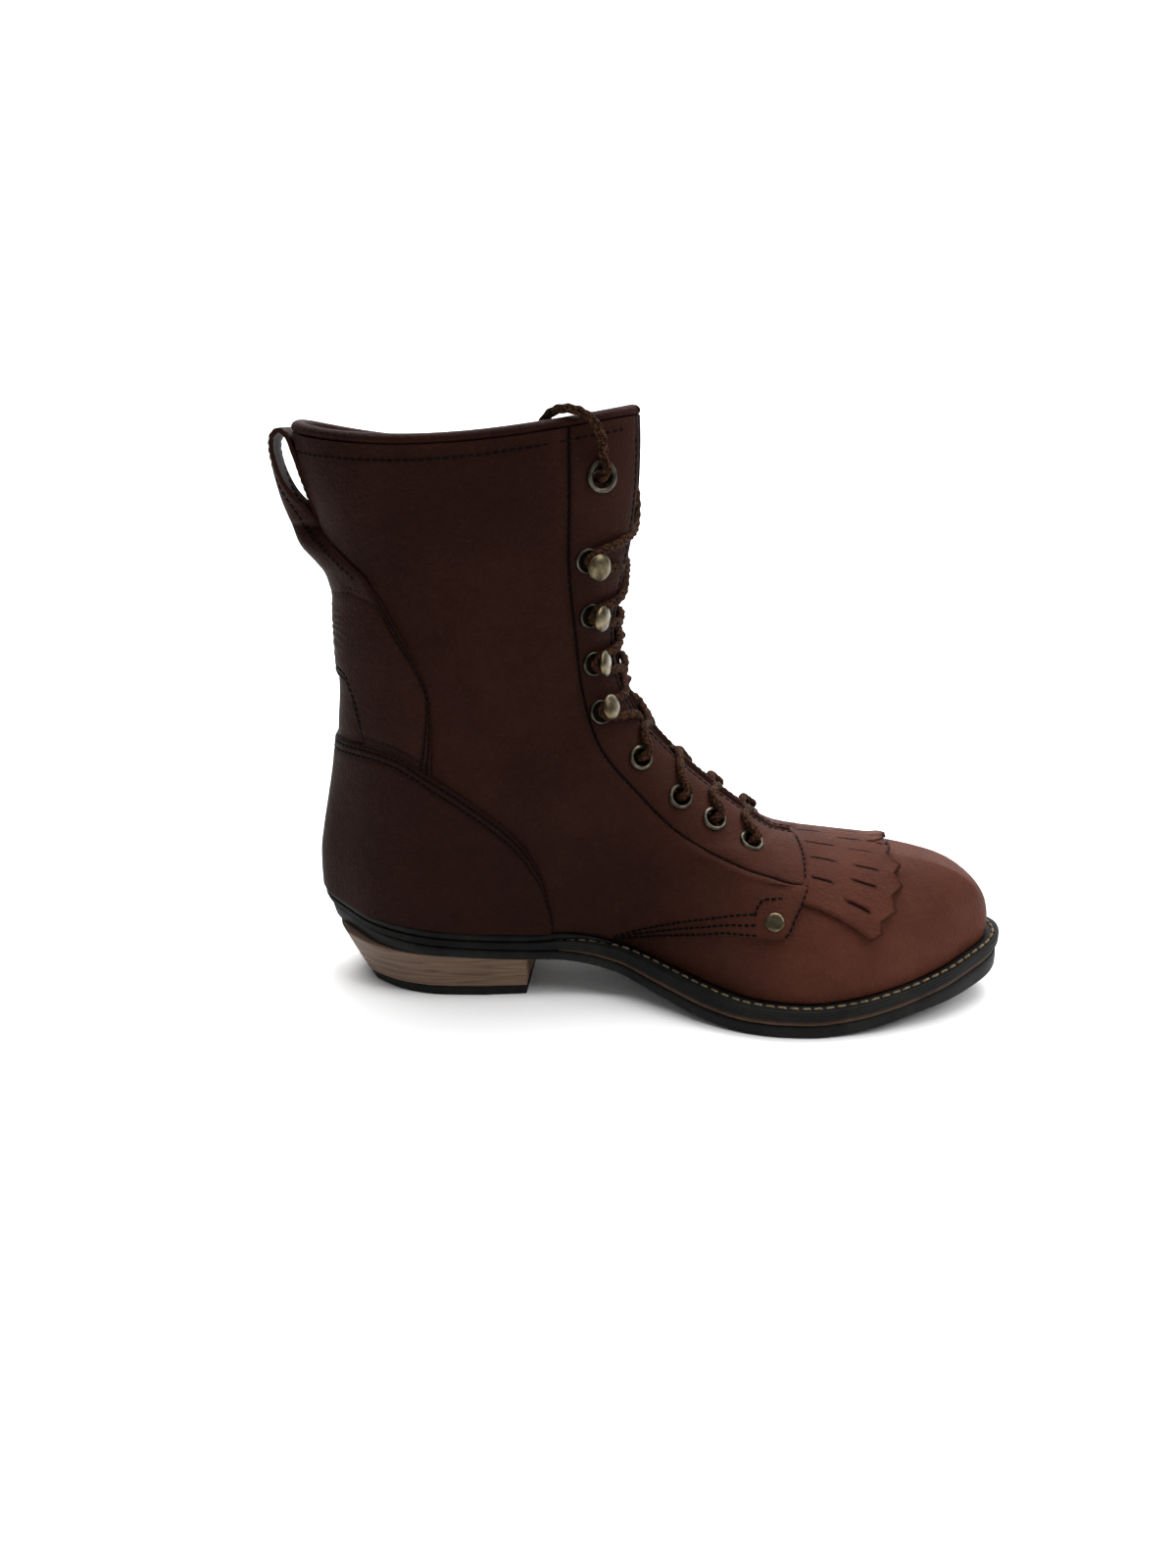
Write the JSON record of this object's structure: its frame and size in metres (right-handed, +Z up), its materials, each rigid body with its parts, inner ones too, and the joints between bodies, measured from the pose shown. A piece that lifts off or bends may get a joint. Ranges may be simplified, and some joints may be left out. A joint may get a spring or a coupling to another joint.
{
  "type": "packer boot",
  "caption": "Left lace-up packer boot in brown leather: welted sole, stacked heel, fringed kiltie over the vamp, lace hooks and a pull loop.",
  "frame": {"origin": "centre of the bounding box's bottom face, on the floor (the free lace end is left out)", "axes": "+X from the heel to the toe, +Y to the outer side of the foot, +Z up"},
  "size_m": [0.3146, 0.1088, 0.2513],
  "materials": {
    "leather": "oiled, soft sheen",
    "leather_dark": "oiled, soft sheen",
    "insole": "matt",
    "heel_leather": "stacked, waxed",
    "midsole": "matt edge",
    "rubber": "matt",
    "brass": "antique",
    "lace": "braided"
  },
  "bodies": {
    "root": {"outsole": "rubber", "midsole": "midsole", "welt": "rubber", "heel_rand": "rubber", "heel_stack": "heel_leather", "heel_toplift": "rubber", "insole": "insole", "upper": "leather", "counter": "leather_dark", "back_strap": "leather", "pull_loop": "leather", "collar_binding": "leather_dark", "tongue": "leather", "kiltie": "leather", "eyestay_medial": "leather", "eyestay_lateral": "leather", "eyelet_medial_1": "brass", "eyelet_medial_2": "brass", "eyelet_medial_3": "brass", "eyelet_medial_4": "brass", "eyelet_medial_top": "brass", "hook_medial_1": "brass", "hook_medial_2": "brass", "hook_medial_3": "brass", "hook_medial_4": "brass", "rivet_medial": "brass", "eyelet_lateral_1": "brass", "eyelet_lateral_2": "brass", "eyelet_lateral_3": "brass", "eyelet_lateral_4": "brass", "eyelet_lateral_top": "brass", "hook_lateral_1": "brass", "hook_lateral_2": "brass", "hook_lateral_3": "brass", "hook_lateral_4": "brass", "rivet_lateral": "brass", "lace_cross_1": "lace", "lace_cross_2": "lace", "lace_cross_3": "lace", "lace_cross_4": "lace", "lace_cross_5": "lace", "lace_cross_6": "lace", "lace_cross_7": "lace", "lace_cross_8": "lace", "lace_end": "lace"}
  },
  "joints": []
}
